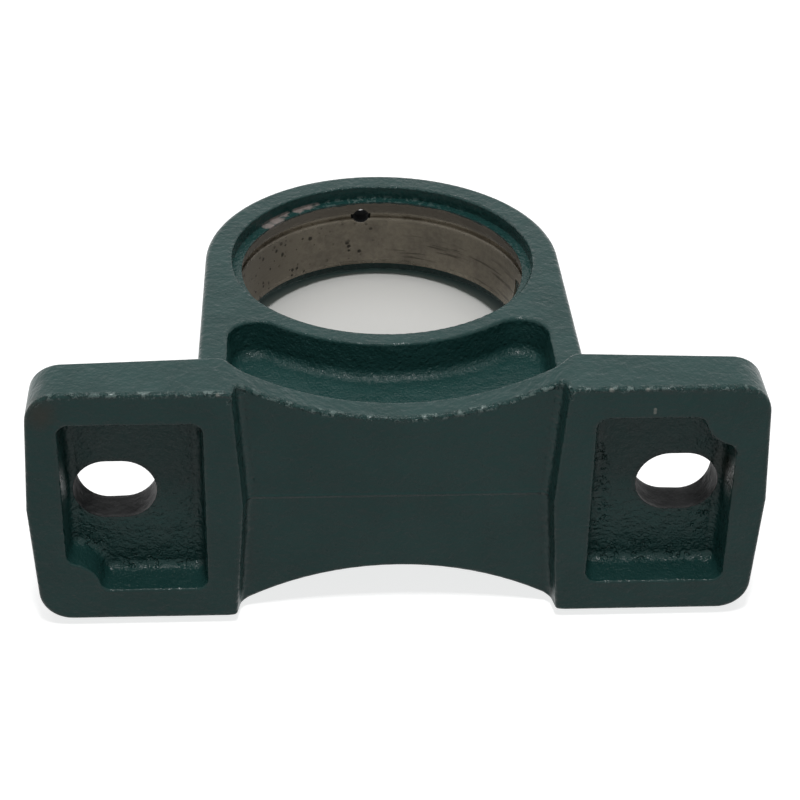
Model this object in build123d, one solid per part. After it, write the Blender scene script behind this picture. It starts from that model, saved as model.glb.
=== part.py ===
from build123d import *
import math
import os

# Housing for a ball bearing insert, in millimetres. The feet rest on z = 0, X runs along the
# base and Y along the shaft. The casting parts on y = 0, so its faces lean back from there.

# Sizes of the size class
CENTRE_H = 105.0      # shaft axis above the feet
BASE_L = 190.0        # length over both feet, at the parting plane
BASE_W = 70.0         # width of the feet
BOLT_END = 22.0       # bolt to the end of the base
BOLT_SPACING = BASE_L - 2 * BOLT_END
SLOT_W = 17.5
SLOT_L = 21.5         # end to end along X
FOOT_T = 20.0         # foot thickness at the slot
SEAT_R = 42.5         # spherical seat
SEAT_HALF = 10.75     # half the width of the seat

# Ring, legs and web
RING_R = SEAT_R + 10.0        # outer radius at the parting plane
BODY_HALF = SEAT_HALF + 4.0   # half the width of the ring and legs
BODY_DRAFT = 4.0
LEG_HALF = RING_R + 1.1       # half width over the legs at their foot
LEG_FILLET = 8.0
TOE_SINK = 0.1                # how far the fillet of each leg runs into its foot
SHELF_R = SEAT_R + 1.4        # recess round each mouth of the bore
WEB_HALF = 4.0                # half the thickness of the web below the ring
RIM_R = SHELF_R + 5.5         # lower edge of the ring, above the web
LEG_IN = LEG_HALF - 9.2       # inner side of each leg at the side face
POCKET_DRAFT = 5.0
POCKET_TOP_R = 8.0
POCKET_LOW_R = 5.0
POCKET_FLOOR_R = 3.0
SIDE_R = 1.5                  # outer edges of the ring and legs
RIM_EDGE_R = 1.0              # rim of the side pocket
MOUTH_R = 0.5
FLANGE_LAP = 3.0              # how far the legs run into the flange

# Base
PAD_IN = BOLT_SPACING / 2 - 33.1   # inner end of each foot pad at the parting plane
PAD_IN_LEAN = 3.9
END_LEAN = 3.0
TOP_SLOPE = 3.0       # fall of the foot towards its outer end
TOP_LEAN = 7.0        # fall of the foot towards its long sides
SHOULDER = 50.0       # slope between the thin flange and the foot
SHOULDER_IN = PAD_IN - 1.1         # foot of that slope at the parting plane
SHOULDER_R = 0.2 * FOOT_T
FLANGE_Z0 = 5.5       # underside between the feet
FLANGE_Z1 = 0.66 * FOOT_T
WAIST_DEPTH = 0.291 * PAD_IN       # sideways depth of the waist
WAIST_HALF = BASE_W / 2 - WAIST_DEPTH
WAIST_TURN_R = 10.0   # between the waist and the side of each foot
CORNER_R = 8.5
STEP_LEAN = 12.0      # slope of the small step between each sole and the underside
STEP_R = 2.0
EDGE_R = 1.0

# Pocket under each foot
FP_IN = PAD_IN + 9.7
FP_OUT = BASE_L / 2 - 9.2
FP_HALF = BASE_W / 2 - 9.4
FP_DEPTH = 9.4
FP_DRAFT = 5.0
FP_CORNER_R = 3.0
FP_FLOOR_R = 2.5
FP_RIM_R = 0.8
BOSS_R = 8.6          # filled corner of the pocket, room for a dowel pin

# Grease feed
GROOVE_Y = -5.5
GROOVE_W = 2.0
GROOVE_R = SEAT_R + 0.9
GREASE_X = -4.7
GREASE_TAP_R = 2.5    # tapping size for a six millimetre thread
GREASE_THREAD_R = 3.0
GREASE_THREAD_L = 7.0
GREASE_FLAT_R = 5.0

# Loading slots for the insert, on the +Y side
LOAD_HALF = 11.4
LOAD_R = SEAT_R + 0.3


def tan(deg):
    return math.tan(math.radians(deg))


def at_height(edge, z):
    box = edge.bounding_box()
    return abs(box.min.Z - z) < 0.01 and abs(box.max.Z - z) < 0.01


def on_side_face(edge):
    """True for an edge that lies in one of the two faces of the ring and legs."""
    box = edge.bounding_box()
    return abs(abs(box.min.Y) - BODY_HALF) < 0.05 and abs(abs(box.max.Y) - BODY_HALF) < 0.05


def crosswise(edge):
    return edge.geom_type == GeomType.LINE and abs(edge.tangent_at(0.5).Y) > 0.9


def on_slope(edge):
    """Foot or crest of the slope between the flange and a foot."""
    inner = abs(edge.center().X) < BOLT_SPACING / 2
    return crosswise(edge) and inner and edge.bounding_box().min.Z > FLANGE_Z1 - 0.1


def on_low_rim(edge):
    """Outer edges of the underside, from foot to foot along the waist."""
    box = edge.bounding_box()
    step = crosswise(edge) and box.min.Z > 0.1
    parting = abs(edge.center().Y) < 0.01 and not crosswise(edge)
    return box.max.Z < FLANGE_Z0 + 0.01 and not step and not parting


def on_top_rim(edge):
    """Outer edges of the top, from foot to foot along the waist."""
    mid = edge.center()
    at_end = abs(mid.X) > BASE_L / 2 - CORNER_R
    at_side = abs(mid.Y) > 0.9 * WAIST_HALF and not crosswise(edge)
    return edge.bounding_box().min.Z > FLANGE_Z1 - 0.01 and (at_end or at_side)


def both_sides(tool):
    return tool + mirror(tool, about=Plane.XZ)


def cut_back(solid, at, outward):
    """Removes what lies beyond the plane through a point."""
    return split(solid, bisect_by=Plane(at, z_dir=outward), keep=Keep.BOTTOM)


def quarter_plan():
    """Quarter of the base from above: an end that leans back from the parting plane, and a waist."""
    half = BASE_W / 2
    end = BASE_L / 2
    corner = end - half * tan(END_LEAN)
    waist = PAD_IN + half * tan(PAD_IN_LEAN)
    outline = Curve() + [
        Line((0, 0), (end, 0)),
        Line((end, 0), (corner, half)),
        Line((corner, half), (waist, half)),
        TangentArc((0, WAIST_HALF), (waist, half), tangent=(1, 0)),
        Line((0, WAIST_HALF), (0, 0)),
    ]
    face = make_face(outline)
    tips = face.vertices().filter_by_position(Axis.Y, half - 0.01, half + 0.01).sort_by(Axis.X)
    face = fillet(tips[-1], CORNER_R)
    turn = face.vertices().filter_by_position(Axis.Y, half - 0.01, half + 0.01).sort_by(Axis.X)[0]
    return fillet(turn, WAIST_TURN_R)


def base_quarter():
    """Quarter of the base for X and Y above zero, with the top and the gap below cut by planes."""
    low_corner = (Align.MIN, Align.MIN, Align.MIN)
    block = extrude(quarter_plan(), 2 * FOOT_T)
    block = cut_back(block, (BOLT_SPACING / 2, 0, FOOT_T), (tan(TOP_SLOPE), tan(TOP_LEAN), 1))
    above = Pos(0, 0, FLANGE_Z1) * Box(BASE_L, BASE_W, 2 * FOOT_T, align=low_corner)
    rise = tan(SHOULDER)
    above = cut_back(above, (SHOULDER_IN, 0, FLANGE_Z1), (rise, -rise * tan(PAD_IN_LEAN), -1))
    below = Box(BASE_L, BASE_W, FLANGE_Z0, align=low_corner)
    below = cut_back(below, (PAD_IN, 0, 0), (1, -tan(PAD_IN_LEAN), tan(STEP_LEAN)))
    return block - above - below


def base():
    """Feet and waisted flange, with small steps between them on the underside."""
    quarter = base_quarter()
    half = quarter + mirror(quarter, about=Plane.XZ)
    whole = half + mirror(half, about=Plane.YZ)
    steps = [e for e in whole.edges() if crosswise(e) and at_height(e, FLANGE_Z0)]
    whole = fillet(steps, STEP_R)
    whole = fillet([e for e in whole.edges() if on_slope(e)], SHOULDER_R)
    whole = fillet([e for e in whole.edges() if on_low_rim(e)], EDGE_R)
    return fillet([e for e in whole.edges() if on_top_rim(e)], EDGE_R)


def foot_top(x, y):
    """Height of the sloping top of a foot."""
    return FOOT_T - tan(TOP_SLOPE) * (abs(x) - BOLT_SPACING / 2) - tan(TOP_LEAN) * abs(y)


def round_mid(x, z, side):
    """Middle of the quarter arc about the centre (x, z) that faces the leg."""
    reach = LEG_FILLET * math.sqrt(0.5)
    return (x - side * reach, z - reach)


def ring_and_legs():
    """Drawn along the shaft with the fillets at the feet, drafted from the parting plane."""
    foot_z = FLANGE_Z1 - FLANGE_LAP
    toe_x = LEG_HALF + LEG_FILLET
    toe_z = foot_top(toe_x, BODY_HALF) - TOE_SINK
    ankle_z = toe_z + LEG_FILLET
    crown = ThreePointArc((-RING_R, CENTRE_H), (0, CENTRE_H + RING_R), (RING_R, CENTRE_H))
    outline = Curve() + [
        crown,
        Line((RING_R, CENTRE_H), (LEG_HALF, ankle_z)),
        ThreePointArc((LEG_HALF, ankle_z), round_mid(toe_x, ankle_z, 1), (toe_x, toe_z)),
        Line((toe_x, toe_z), (toe_x, foot_z)),
        Line((toe_x, foot_z), (-toe_x, foot_z)),
        Line((-toe_x, foot_z), (-toe_x, toe_z)),
        ThreePointArc((-toe_x, toe_z), round_mid(-toe_x, ankle_z, -1), (-LEG_HALF, ankle_z)),
        Line((-LEG_HALF, ankle_z), (-RING_R, CENTRE_H)),
    ]
    block = both_sides(extrude(Plane.XZ * make_face(outline), BODY_HALF, taper=BODY_DRAFT))
    rims = [e for e in block.edges() if on_side_face(e) and e.bounding_box().max.Z > toe_z + 0.1]
    return fillet(rims, SIDE_R)


def side_pocket():
    """Recess between ring, legs and base on the -Y side, open at the side face."""
    low = FLANGE_Z1
    zone = Pos(0, (CENTRE_H + low) / 2) * Rectangle(2 * LEG_IN, CENTRE_H - low)
    zone -= Pos(0, CENTRE_H) * Circle(RIM_R)
    zone = fillet(zone.vertices().sort_by(Axis.Y)[:2], POCKET_LOW_R)
    tips = [v for v in zone.vertices() if abs(abs(v.X) - LEG_IN) < 0.1]
    zone = fillet(ShapeList(tips).sort_by(Axis.Y)[-2:], POCKET_TOP_R)
    mouth = Plane.XZ.offset(BODY_HALF) * zone
    depth = BODY_HALF - WEB_HALF
    tool = extrude(mouth, -depth, taper=POCKET_DRAFT)
    floor = tool.faces().sort_by(Axis.Y)[-1]
    tool = fillet(floor.edges(), POCKET_FLOOR_R)
    return tool


def bore():
    """Everything that is turned on the shaft axis, as one cutting tool."""
    axis = Pos(0, 0, CENTRE_H) * Rot(X=90)
    mouth_r = math.sqrt(SEAT_R ** 2 - SEAT_HALF ** 2)
    tool = axis * Cylinder(mouth_r, 2 * BODY_HALF + 2)
    tool += Pos(0, 0, CENTRE_H) * Sphere(SEAT_R)
    shelf_t = BODY_HALF - SEAT_HALF + 1
    for s in (-1, 1):
        tool += Pos(0, s * (SEAT_HALF + shelf_t / 2), 0) * axis * Cylinder(SHELF_R, shelf_t)
    tool += Pos(0, GROOVE_Y, 0) * axis * Cylinder(GROOVE_R, GROOVE_W)
    return tool


def loading_slots():
    """Two flats of the seat through which the insert is turned in, from the +Y side."""
    depth = BODY_HALF + 1
    slab = Pos(0, depth / 2, CENTRE_H) * Box(3 * SEAT_R, depth, 2 * LOAD_HALF)
    drum = Pos(0, depth / 2, CENTRE_H) * Rot(X=90) * Cylinder(LOAD_R, depth)
    return slab & drum


def foot_pocket():
    """Hollow under the +X foot, with its outer -Y corner left solid."""
    mid = (FP_IN + FP_OUT) / 2
    zone = Pos(mid, 0) * Rectangle(FP_OUT - FP_IN, 2 * FP_HALF)
    zone -= Pos(FP_OUT, -FP_HALF) * Circle(BOSS_R)
    zone = fillet(zone.vertices(), FP_CORNER_R)
    tool = extrude(zone, FP_DEPTH, taper=FP_DRAFT)
    roof = tool.faces().sort_by(Axis.Z)[-1]
    return fillet(roof.edges(), FP_FLOOR_R)


def bolt_slot():
    mid = Pos(BOLT_SPACING / 2, 0)
    return mid * extrude(SlotOverall(SLOT_L, SLOT_W), 2 * FOOT_T)


def grease_hole():
    """Tapping-size hole from the groove to a small flat on top of the ring."""
    top = CENTRE_H + RING_R
    at = Pos(GREASE_X, GROOVE_Y, 0)
    hole = at * Pos(0, 0, top - 8) * Cylinder(GREASE_TAP_R, 24)
    thread = at * Pos(0, 0, top - GREASE_THREAD_L / 2) * Cylinder(GREASE_THREAD_R, GREASE_THREAD_L)
    flat = at * Pos(0, 0, top + 1) * Cylinder(GREASE_FLAT_R, 4)
    return hole + thread + flat


def on_pocket_rim(edge):
    box = edge.bounding_box()
    inside = abs(edge.center().X) < LEG_IN + 0.1 and box.min.Z > FLANGE_Z1 - 0.1
    return inside and on_side_face(edge) and box.max.Z < CENTRE_H - RIM_R / 2


def body():
    """Ring, legs and web with every recess that opens in their side faces."""
    block = ring_and_legs() - both_sides(side_pocket())
    block = fillet([e for e in block.edges() if on_pocket_rim(e)], RIM_EDGE_R)
    block = block - bore() - loading_slots()
    circles = [e for e in block.edges().filter_by(GeomType.CIRCLE) if on_side_face(e)]
    mouths = [e for e in circles if e.length > math.pi * SHELF_R]
    return fillet(mouths, MOUTH_R) - grease_hole()


def on_foot_pocket_rim(edge):
    mid = edge.center()
    across = FP_IN - 1 < abs(mid.X) < FP_OUT + 1
    return across and abs(mid.Y) < FP_HALF + 1 and at_height(edge, 0)


def housing():
    whole = base() + body()
    hollow = foot_pocket()
    for turn in (0, 180):
        whole -= Rot(Z=turn) * hollow
        whole -= Rot(Z=turn) * bolt_slot()
    return fillet([e for e in whole.edges() if on_foot_pocket_rim(e)], FP_RIM_R)


part = housing()
part.label = "housing"
os.makedirs("parts", exist_ok=True)
export_step(part, "parts/housing.step")
print("volume", round(part.volume / 1000, 1), "cm3")
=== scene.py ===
"""Looks for the bearing housing: enamel over sand-cast iron, bare turned seat, studio light."""
import math

import bpy
from mathutils import Matrix, Vector


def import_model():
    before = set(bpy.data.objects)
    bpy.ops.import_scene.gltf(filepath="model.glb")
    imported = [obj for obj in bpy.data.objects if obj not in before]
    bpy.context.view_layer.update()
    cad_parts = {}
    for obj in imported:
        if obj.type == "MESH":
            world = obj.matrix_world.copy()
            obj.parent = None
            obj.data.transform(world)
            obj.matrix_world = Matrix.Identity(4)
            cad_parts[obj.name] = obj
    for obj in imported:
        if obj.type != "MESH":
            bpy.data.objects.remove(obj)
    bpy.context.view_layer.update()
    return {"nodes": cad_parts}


# Places of the part, in metres
CENTRE_H = 0.105
SEAT_R = 0.0425
SEAT_HALF = 0.01075
BODY_HALF = 0.01475
FOOT_T = 0.020
FOOT_SIDE = 0.035
BOLT_X = 0.073
SLOT_R = 0.00875
SLOT_REACH = 0.002
FLANGE_Z0 = 0.0055
SEAM_HALF = 0.0395
POCKET_Z = 0.0094
GREASE_X = -0.0047
GREASE_R = 0.003
GROOVE_Y = -0.0055
LOAD_HALF = 0.0114
CROWN_Z = 0.1572
CROWN_Y = 0.0148
SKIN = 0.0001           # margin at the borders of masks

# Floor: where the foot touches it, its gap to the part, and half its side
TOUCH_Z = FOOT_T * 0.8
FLOOR_GAP = 0.0002
FLOOR_REACH = 1.5

# Camera of the photograph: the part lies on its +Y side and is seen from below its base
CAM_AT = Vector((-0.02860, -0.32873, -0.45737))
CAM_PITCH = math.radians(32.89)
CAM_YAW = math.radians(-3.53)
CAM_ROLL = math.radians(-1.17)
CAM_LENS = 98.93

# Colours, linear
ENAMEL = (0.012, 0.050, 0.0465, 1)
ENAMEL_WORN = (0.018, 0.060, 0.056, 1)
ENAMEL_THICK = (0.008, 0.038, 0.035, 1)
TURNED = (0.215, 0.190, 0.148, 1)
TARNISHED = (0.110, 0.098, 0.080, 1)
# Painted highlight: lighter metal for the groove's lit wall
GROOVE_HIGHLIGHT = (0.30, 0.27, 0.22, 1)
CAST_METAL = (0.012, 0.013, 0.014, 1)
SCRAPED = (0.27, 0.23, 0.215, 1)
BROWN = (0.055, 0.036, 0.024, 1)
PALE = (0.32, 0.34, 0.31, 1)
# Painted highlight: light teal that stands in for glints on the edge beads and the upper shelf
GLINT_TEAL = (0.30, 0.38, 0.36, 1)
DARK = (0.003, 0.003, 0.003, 1)
WHITE = (1, 1, 1, 1)
# Painted shade on the floor: grey behind the bore, and a darker painted shadow by the ring
FLOOR_SHADE_IN_BORE = (0.74, 0.74, 0.72, 1)
FLOOR_SHADOW_BY_RING = (0.35, 0.35, 0.35, 1)
FLOOR_OPEN = (0.5, 0.5, 0.5, 1)
FLOOR_FOR_LIGHT = (0.25, 0.25, 0.25, 1)

# Light: the world on the object, the floor's own glow, and each lamp's name, place, size and power
WORLD_LIGHT = 0.12
FLOOR_GLOW = 0.78
AIM = Vector((0, 0, 0.07))
LAMPS = (("key", (-0.05, -1.2, 0.35), 1.0, 5.4),
         ("low", (0.0, -0.93, -0.30), 0.13, 4.7),
         ("top", (-0.35, 0.35, 1.05), 0.7, 6),
         ("back", (0.2, 1.0, 0.4), 0.6, 5))

# Marks in the photograph, each as its place and radius
SCRAPES = (((-0.0330, -0.0107, 0.1310), 0.0020), ((-0.0313, -0.0107, 0.1351), 0.0026),
           ((-0.0292, -0.0107, 0.1390), 0.0020), ((-0.0244, -0.0107, 0.1412), 0.0018),
           ((-0.0220, -0.0107, 0.1437), 0.0024), ((-0.0196, -0.0107, 0.1458), 0.0020))
BROWN_MARKS = (((-0.0895, -0.0295, 0.000), 0.0035), ((0.0848, -0.0060, 0.005), 0.0045))
PALE_MARKS = (((0.0638, -0.0286, 0.0), 0.0004), ((0.0638, -0.0281, 0.0), 0.0004),
              ((0.0638, -0.0276, 0.0), 0.0004), ((0.0524, -0.0345, 0.0), 0.0006),
              ((0.0615, -0.0345, 0.0), 0.0005), ((-0.0455, -0.0345, 0.0), 0.0005))
PITTED = (((0.0510, -0.0080, POCKET_Z), 0.0045), ((0.0510, 0.0010, POCKET_Z), 0.0045),
          ((0.0520, 0.0100, POCKET_Z), 0.0045), ((0.0560, 0.0220, POCKET_Z), 0.0040),
          ((0.0650, 0.0220, POCKET_Z), 0.0040), ((0.0750, 0.0230, POCKET_Z), 0.0040),
          ((-0.0560, 0.0220, POCKET_Z), 0.0030), ((-0.0630, 0.0225, POCKET_Z), 0.0030),
          ((-0.0700, 0.0230, POCKET_Z), 0.0030), ((-0.0800, 0.0150, POCKET_Z), 0.0040),
          ((0.0795, 0.0145, POCKET_Z), 0.0020), ((0.0812, 0.0100, POCKET_Z), 0.0020))


def camera():
    right = Vector((1, 0, 0))
    up = Vector((0, -math.cos(CAM_PITCH), math.sin(CAM_PITCH)))
    ahead = Vector((0, math.sin(CAM_PITCH), math.cos(CAM_PITCH)))
    yaw = Matrix.Rotation(CAM_YAW, 3, (0, -1, 0))
    right, up, ahead = yaw @ right, yaw @ up, yaw @ ahead
    roll = Matrix.Rotation(CAM_ROLL, 3, ahead)
    right, up = roll @ right, roll @ up
    turn = Matrix((right, up, -ahead)).transposed()
    data = bpy.data.cameras.new("camera")
    data.sensor_width = 36
    data.lens = CAM_LENS
    obj = bpy.data.objects.new("camera", data)
    obj.matrix_world = Matrix.Translation(CAM_AT) @ turn.to_4x4()
    bpy.context.collection.objects.link(obj)
    bpy.context.scene.camera = obj


class Nodes:
    """Short calls for building a node tree."""

    def __init__(self, tree):
        self.tree = tree
        tree.nodes.clear()

    def add(self, kind, **props):
        node = self.tree.nodes.new(kind)
        for name, value in props.items():
            setattr(node, name, value)
        return node

    def put(self, socket, value):
        if isinstance(value, bpy.types.NodeSocket):
            self.tree.links.new(value, socket)
        else:
            socket.default_value = value

    def math(self, op, a, b=0.0):
        node = self.add("ShaderNodeMath", operation=op)
        self.put(node.inputs[0], a)
        self.put(node.inputs[1], b)
        return node.outputs[0]

    def total(self, *values):
        result = values[0]
        for value in values[1:]:
            result = self.math("ADD", result, value)
        return result

    def both(self, *values):
        """Product of masks."""
        result = values[0]
        for value in values[1:]:
            result = self.math("MULTIPLY", result, value)
        return result

    def either(self, *values):
        """Greatest of masks."""
        result = values[0]
        for value in values[1:]:
            result = self.math("MAXIMUM", result, value)
        return result

    def below(self, value, limit):
        return self.math("LESS_THAN", value, limit)

    def above(self, value, limit):
        return self.math("GREATER_THAN", value, limit)

    def without(self, mask):
        return self.math("SUBTRACT", 1.0, mask)

    def length(self, a, b):
        squares = [self.math("MULTIPLY", side, side) for side in (a, b)]
        return self.math("SQRT", self.math("ADD", *squares))

    def vector(self, op, a, b):
        node = self.add("ShaderNodeVectorMath", operation=op)
        self.put(node.inputs[0], a)
        self.put(node.inputs[1], b)
        return node.outputs["Value" if op == "DISTANCE" else "Vector"]

    def noise(self, where, scale, detail=2.0, rough=0.5, output="Fac"):
        node = self.add("ShaderNodeTexNoise")
        self.put(node.inputs["Vector"], where)
        self.put(node.inputs["Scale"], scale)
        self.put(node.inputs["Detail"], detail)
        self.put(node.inputs["Roughness"], rough)
        return node.outputs[output]

    def specks(self, where, scale, size, share):
        """Mask of round specks: one to a cell, in a share of the cells."""
        node = self.add("ShaderNodeTexVoronoi")
        self.put(node.inputs["Vector"], where)
        self.put(node.inputs["Scale"], scale)
        split = self.add("ShaderNodeSeparateColor")
        self.put(split.inputs[0], node.outputs["Color"])
        chosen = self.below(split.outputs[0], share)
        width = self.math("MULTIPLY_ADD", split.outputs[1], size)
        self.put(width.node.inputs[2], size * 0.4)
        dot = self.without(self.math("DIVIDE", node.outputs["Distance"], width))
        return self.both(chosen, self.ramp(dot, 0.0, 0.5))

    def ramp(self, value, low, high, to_low=0.0, to_high=1.0):
        """Smooth step from one range of values to another."""
        node = self.add("ShaderNodeMapRange", interpolation_type="SMOOTHSTEP")
        names = ("Value", "From Min", "From Max", "To Min", "To Max")
        for name, given in zip(names, (value, low, high, to_low, to_high)):
            self.put(node.inputs[name], given)
        return node.outputs["Result"]

    def mix(self, factor, a, b):
        node = self.add("ShaderNodeMix", data_type="RGBA")
        self.put(node.inputs["Factor"], factor)
        self.put(node.inputs[6], a)
        self.put(node.inputs[7], b)
        return node.outputs[2]

    def nearness(self, inside, reach):
        """Zero on open faces, up to one along edges (inside) or in corners (outside)."""
        node = self.add("ShaderNodeAmbientOcclusion", inside=inside, samples=6, only_local=True)
        node.inputs["Distance"].default_value = reach
        return self.without(node.outputs["AO"])

    def bump(self, height, distance, strength=1.0, normal=None):
        node = self.add("ShaderNodeBump")
        self.put(node.inputs["Height"], height)
        node.inputs["Distance"].default_value = distance
        self.put(node.inputs["Strength"], strength)
        if normal is not None:
            self.put(node.inputs["Normal"], normal)
        return node.outputs["Normal"]


def material(name):
    mat = bpy.data.materials.new(name)
    mat.use_nodes = True
    return mat, Nodes(mat.node_tree)


class Place:
    """Where a point of the casting is, and the masks that follow from it."""

    def __init__(self, n):
        self.n = n
        self.here = n.add("ShaderNodeTexCoord").outputs["Object"]
        split = n.add("ShaderNodeSeparateXYZ")
        n.put(split.inputs[0], self.here)
        self.x, self.y, self.z = split.outputs
        self.rise = n.math("SUBTRACT", self.z, CENTRE_H)
        self.radius = n.length(self.x, self.rise)
        self.across = n.math("ABSOLUTE", self.x)
        self.aside = n.math("ABSOLUTE", self.y)
        # the same point shaken by a fine noise, for ragged borders
        shake = n.noise(self.here, 420, 2, 0.6, output="Color")
        shake = n.vector("SUBTRACT", shake, (0.5, 0.5, 0.5))
        shake = n.vector("MULTIPLY", shake, (0.004, 0.004, 0.004))
        self.ragged = n.vector("ADD", self.here, shake)

    def blobs(self, marks, soft, where=None):
        """Mask of round marks, with ragged borders unless measured from a plain place."""
        n = self.n
        found = []
        for at, radius in marks:
            away = n.vector("DISTANCE", where or self.ragged, at)
            found.append(n.ramp(away, radius * (1 + soft), radius * (1 - soft)))
        return n.either(*found)

    def seat(self):
        """Bare turned part of the bore; the paint laps over its -Y edge."""
        n = self.n
        near = n.below(self.radius, SEAT_R + 0.0012)
        lap = n.noise(self.here, 260, 2, 0.6)
        front = n.math("ADD", n.math("MULTIPLY", lap, 0.0016), -SEAT_HALF - 0.0002)
        in_width = n.both(n.above(self.y, front), n.below(self.y, SEAT_HALF + SKIN))
        return n.both(near, in_width, n.without(self.loading_slot()))

    def loading_slot(self):
        """Walls of the two slots that let the insert in, on the +Y side."""
        n = self.n
        level = n.below(n.math("ABSOLUTE", self.rise), LOAD_HALF)
        behind = n.above(self.y, SKIN)
        return n.both(level, behind, n.above(self.radius, SEAT_R - 0.0003))

    def slot_wall(self):
        """Walls of the two bolt slots."""
        n = self.n
        off = n.math("SUBTRACT", self.across, BOLT_X)
        past = n.math("SUBTRACT", n.math("ABSOLUTE", off), SLOT_REACH)
        past = n.math("MAXIMUM", past, 0.0)
        return n.below(n.length(past, self.y), SLOT_R + SKIN)

    def grease_hole(self):
        n = self.n
        off = n.length(n.math("SUBTRACT", self.x, GREASE_X), n.math("SUBTRACT", self.y, GROOVE_Y))
        return n.both(n.below(off, GREASE_R + SKIN), n.above(self.z, CENTRE_H + SEAT_R))

    def front_edge(self):
        """The lower front edge, along both feet and the waist, where the paint hangs in drops."""
        n = self.n
        limit = n.ramp(self.across, 0.010, 0.042, -0.0205, -0.0315)
        return n.both(n.below(self.y, limit), n.ramp(self.z, 0.0085, 0.0070))

    def recessed(self):
        """The side pockets and the hollows under the feet, where the sand finish is coarser."""
        n = self.n
        side = n.both(n.below(self.aside, BODY_HALF - 0.0008), n.below(self.across, 0.0455))
        side = n.both(side, n.above(self.z, 0.0145), n.below(self.z, CENTRE_H))
        side = n.both(side, n.above(self.radius, SEAT_R + 0.004))
        foot = n.both(n.above(self.z, 0.0006), n.below(self.z, 0.0096))
        foot = n.both(foot, n.above(self.across, 0.047), n.below(self.across, 0.0865))
        return n.either(side, n.both(foot, n.below(self.aside, 0.0262)))


def seat_metal(n, place, pits):
    """Colour of the turned seat: tarnished in front of the groove, with a painted highlight just behind
    it.
    """
    here = place.here
    cloud = n.ramp(n.noise(here, 90, 2, 0.6), 0.35, 0.75, 0.0, 0.4)
    grain = n.ramp(n.noise(here, 600, 2, 0.7), 0.3, 0.7, 0.0, 0.4)
    front = n.ramp(place.y, GROOVE_Y - 0.0006, GROOVE_Y - 0.0014)
    left = n.ramp(place.x, -0.014, -0.036, 0.0, 0.6)
    metal = n.mix(n.either(n.math("ADD", cloud, grain), front, left), TURNED, TARNISHED)
    # Painted highlight: a lighter band on the groove's lit wall, broken by noise
    groove_highlight_band = n.both(n.ramp(place.y, -0.0061, -0.0057), n.ramp(place.y, -0.0034, -0.0044))
    metal = n.mix(n.both(groove_highlight_band, n.ramp(n.noise(here, 150, 2, 0.6), 0.25, 0.6), 0.8), metal, GROOVE_HIGHLIGHT)
    streaks = n.noise(n.vector("MULTIPLY", here, (70, 900, 70)), 1, 2, 0.6)
    right = n.both(n.ramp(place.x, 0.0, 0.012), n.ramp(place.y, -0.002, 0.003))
    dark = n.either(pits, n.both(n.ramp(streaks, 0.56, 0.68), right, 0.6))
    return n.mix(n.math("MULTIPLY", dark, 0.8), metal, DARK)


def paint_colour(n, place, crest):
    """Enamel with light drift in its depth, painted glints on the front edge and the upper shelf, and
    the marks of the photograph.
    """
    here = place.here
    drift = n.noise(here, 60, 2, 0.55)
    paint = n.mix(n.ramp(drift, 0.3, 0.7), ENAMEL_THICK, ENAMEL_WORN)
    paint = n.mix(0.6, paint, ENAMEL)
    glint_specks = n.ramp(n.noise(here, 560, 2, 0.6), 0.51, 0.60)
    shelf = n.ramp(place.y, -0.0118, -0.0110)
    # Painted highlight: light specks on the upper shelf near the crown
    shelf_glints = n.both(shelf, n.ramp(place.y, -0.0100, -0.0105), n.below(place.radius, 0.0440))
    shelf_glints = n.both(shelf_glints, n.ramp(place.z, 0.135, 0.148), 0.5)
    here_and_there = n.ramp(drift, 0.35, 0.6, 0.35, 1.0)
    # Painted highlight: light teal specks on the crests of the front edge and on the upper shelf stand
    # in for glints
    glint_places = n.either(n.both(crest, place.front_edge()), shelf_glints)
    paint = n.mix(n.both(glint_places, glint_specks, here_and_there, 0.7), paint, GLINT_TEAL)
    paint = n.mix(n.both(place.blobs(SCRAPES, 0.35), shelf, 0.9), paint, SCRAPED)
    paint = n.mix(n.both(place.blobs(BROWN_MARKS, 0.8), 0.5), paint, BROWN)
    return n.mix(n.both(place.blobs(PALE_MARKS, 0.4, here), 0.7), paint, PALE)


def relief(n, place, pits, masks):
    """Skin of the paint, sand below it in the hollows, turned rings in the seat, drops on the edges."""
    here = place.here
    bare, seat, coarse, rim = masks
    seam = n.ramp(n.math("ABSOLUTE", n.math("SUBTRACT", place.y, 0.0003)), 0.0007, 0.0001)
    seam = n.both(seam, n.below(place.z, FLANGE_Z0 + 0.0005), n.below(place.across, SEAM_HALF), 0.6)
    peel = n.both(n.noise(here, 600, 2, 0.6), 0.8)
    lumps = n.both(n.noise(here, 200, 1, 0.5), 0.9)
    normal = n.bump(n.total(peel, lumps, seam), 0.0005, n.both(n.without(seat), 0.8))
    normal = n.bump(n.noise(here, 1000, 2, 0.7), 0.0004, n.both(coarse, 0.9), normal)
    craters = n.ramp(n.noise(here, 430, 2, 0.6), 0.60, 0.53)
    normal = n.bump(craters, 0.0005, n.both(place.blobs(PITTED, 0.5), coarse), normal)
    rings = n.noise(n.vector("MULTIPLY", here, (50, 2600, 50)), 1, 2, 0.6)
    turned = n.math("SUBTRACT", n.both(rings, 0.4), pits)
    normal = n.bump(turned, 0.0002, n.both(seat, 0.8), normal)
    beads = n.ramp(n.noise(here, 560, 2, 0.6), 0.35, 0.65)
    drops = n.both(n.without(bare), rim, n.ramp(place.front_edge(), 0.0, 1.0, 0.2, 1.0))
    return n.bump(beads, 0.0009, drops, normal)


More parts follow.
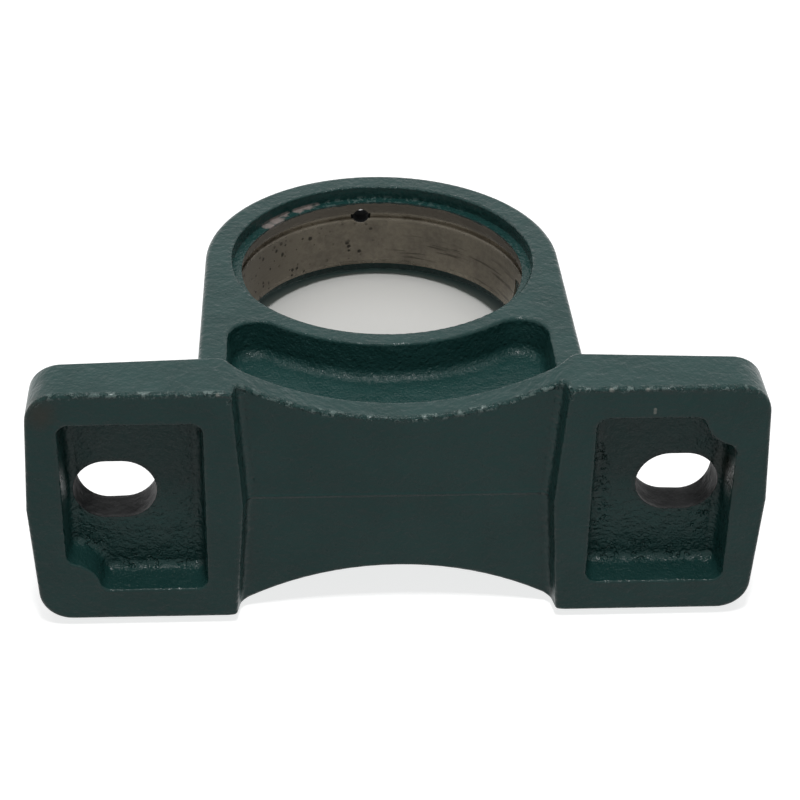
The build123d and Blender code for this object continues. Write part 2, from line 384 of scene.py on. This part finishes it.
def casting():
    """Semi-gloss enamel on a sand casting, with the bare metal of its seat and slots."""
    mat, n = material("enamelled_iron")
    out = n.add("ShaderNodeOutputMaterial")
    shader = n.add("ShaderNodeBsdfPrincipled")
    n.put(out.inputs["Surface"], shader.outputs[0])
    place = Place(n)
    here = place.here

    convex = n.nearness(True, 0.0014)
    edge = n.ramp(convex, 0.02, 0.10)
    crest = n.ramp(convex, 0.08, 0.15)
    corner = n.ramp(n.nearness(False, 0.0035), 0.06, 0.20)
    rim = n.either(edge, corner)
    seat = place.seat()
    slot_wall = place.slot_wall()
    bare = n.either(seat, slot_wall)
    hole = place.grease_hole()
    coarse = place.recessed()
    left = n.both(n.ramp(place.x, 0.004, -0.004), n.ramp(place.y, -0.006, 0.0))
    clusters = n.ramp(n.noise(here, 130, 1, 0.5), 0.42, 0.52, 0.1, 1.0)
    pits = n.both(n.specks(here, 560, 0.40, 0.6), left, clusters)

    colour = n.mix(seat, paint_colour(n, place, crest), seat_metal(n, place, pits))
    grain = n.ramp(n.noise(here, 1500, 1, 0.6), 0.35, 0.7, 0.0, 0.6)
    colour = n.mix(slot_wall, colour, n.mix(grain, CAST_METAL, DARK))
    colour = n.mix(hole, colour, CAST_METAL)
    n.put(shader.inputs["Base Color"], colour)
    n.put(shader.inputs["Metallic"], n.math("MULTIPLY", seat, 0.6))

    gloss = n.ramp(n.noise(here, 240, 1, 0.5), 0.3, 0.7, 0.27, 0.35)
    gloss = n.math("SUBTRACT", gloss, n.math("MULTIPLY", rim, 0.18))
    rough = n.total(gloss, n.both(seat, 0.14), n.both(slot_wall, 0.35))
    n.put(shader.inputs["Roughness"], n.math("MAXIMUM", rough, hole))
    shader.inputs["Specular IOR Level"].default_value = 0.2
    n.put(shader.inputs["Normal"], relief(n, place, pits, (bare, seat, coarse, rim)))
    return mat


def shown_ray(n):
    """Mask of rays that only show the surroundings, and mask of shadow rays."""
    ray = n.add("ShaderNodeLightPath")
    seen = n.math("MAXIMUM", ray.outputs["Is Camera Ray"], ray.outputs["Is Glossy Ray"])
    return n.math("MAXIMUM", seen, ray.outputs["Is Transmission Ray"]), ray.outputs["Is Shadow Ray"]


def floor_material():
    """White from its front, with painted shade: a grey disc behind the bore and a darker painted shadow
    by the ring; clear from its back.
    """
    mat, n = material("floor")
    out = n.add("ShaderNodeOutputMaterial")
    shown, shadow = shown_ray(n)
    split = n.add("ShaderNodeSeparateXYZ")
    n.put(split.inputs[0], n.add("ShaderNodeTexCoord").outputs["Object"])
    off = n.length(split.outputs[0], n.math("SUBTRACT", split.outputs[2], CENTRE_H))
    in_open = n.ramp(off, SEAT_R + 0.0064, SEAT_R + 0.0095)
    # Painted shadow: the floor is grey in the bore and darkens towards the ring, drawn in its colour,
    # not cast by the lamps
    clear_of_ring_shadow = n.ramp(off, SEAT_R + 0.0052, SEAT_R + 0.0015)
    tone_with_painted_shade = n.mix(in_open, n.mix(clear_of_ring_shadow, FLOOR_SHADOW_BY_RING, FLOOR_SHADE_IN_BORE), FLOOR_OPEN)
    matt = n.add("ShaderNodeBsdfDiffuse")
    n.put(matt.inputs["Color"], n.mix(shown, FLOOR_FOR_LIGHT, tone_with_painted_shade))
    glow = n.add("ShaderNodeEmission")
    n.put(glow.inputs["Strength"], n.both(shown, in_open, FLOOR_GLOW))
    lit_floor = n.add("ShaderNodeAddShader")
    n.put(lit_floor.inputs[0], matt.outputs[0])
    n.put(lit_floor.inputs[1], glow.outputs[0])
    clear = n.add("ShaderNodeBsdfTransparent")
    behind = n.add("ShaderNodeNewGeometry").outputs["Backfacing"]
    pick = n.add("ShaderNodeMixShader")
    n.put(pick.inputs[0], n.math("MAXIMUM", behind, shadow))
    n.put(pick.inputs[1], lit_floor.outputs[0])
    n.put(pick.inputs[2], clear.outputs[0])
    n.put(out.inputs["Surface"], pick.outputs[0])
    return mat


def floor():
    """The plane that the part lies on: it touches a long side of both feet and the crown."""
    lean = math.atan2(FOOT_SIDE - CROWN_Y, CROWN_Z - TOUCH_Z)
    down = Vector((0, math.cos(lean), math.sin(lean)))
    along = Vector((0, -math.sin(lean), math.cos(lean)))
    at = Vector((0, FOOT_SIDE, TOUCH_Z)) + down * FLOOR_GAP
    across = Vector((1, 0, 0))
    signs = ((-1, -1), (1, -1), (1, 1), (-1, 1))
    corners = [at + (across * sx + along * sz) * FLOOR_REACH for sx, sz in signs]
    mesh = bpy.data.meshes.new("floor")
    mesh.from_pydata(corners, [], [(0, 1, 2, 3)])
    if mesh.polygons[0].normal.y > 0:
        mesh.flip_normals()
    obj = bpy.data.objects.new("floor", mesh)
    bpy.context.collection.objects.link(obj)
    mesh.materials.append(floor_material())


def world():
    scene_world = bpy.data.worlds.new("studio")
    scene_world.use_nodes = True
    bpy.context.scene.world = scene_world
    n = Nodes(scene_world.node_tree)
    out = n.add("ShaderNodeOutputWorld")
    back = n.add("ShaderNodeBackground")
    shown, _ = shown_ray(n)
    back.inputs["Color"].default_value = WHITE
    n.put(back.inputs["Strength"], n.math("MAXIMUM", shown, WORLD_LIGHT))
    n.put(out.inputs["Surface"], back.outputs[0])


def lamp(name, at, size, power):
    data = bpy.data.lights.new(name, "AREA")
    data.size = size
    data.energy = power
    obj = bpy.data.objects.new(name, data)
    obj.location = at
    towards = AIM - Vector(at)
    obj.rotation_euler = towards.to_track_quat("-Z", "Y").to_euler()
    bpy.context.collection.objects.link(obj)


bpy.context.scene.view_settings.view_transform = "Standard"
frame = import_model()
housing = frame["nodes"]["housing"]
housing.data.materials.clear()
housing.data.materials.append(casting())
camera()
floor()
world()
for name, at, size, power in LAMPS:
    lamp(name, at, size, power)
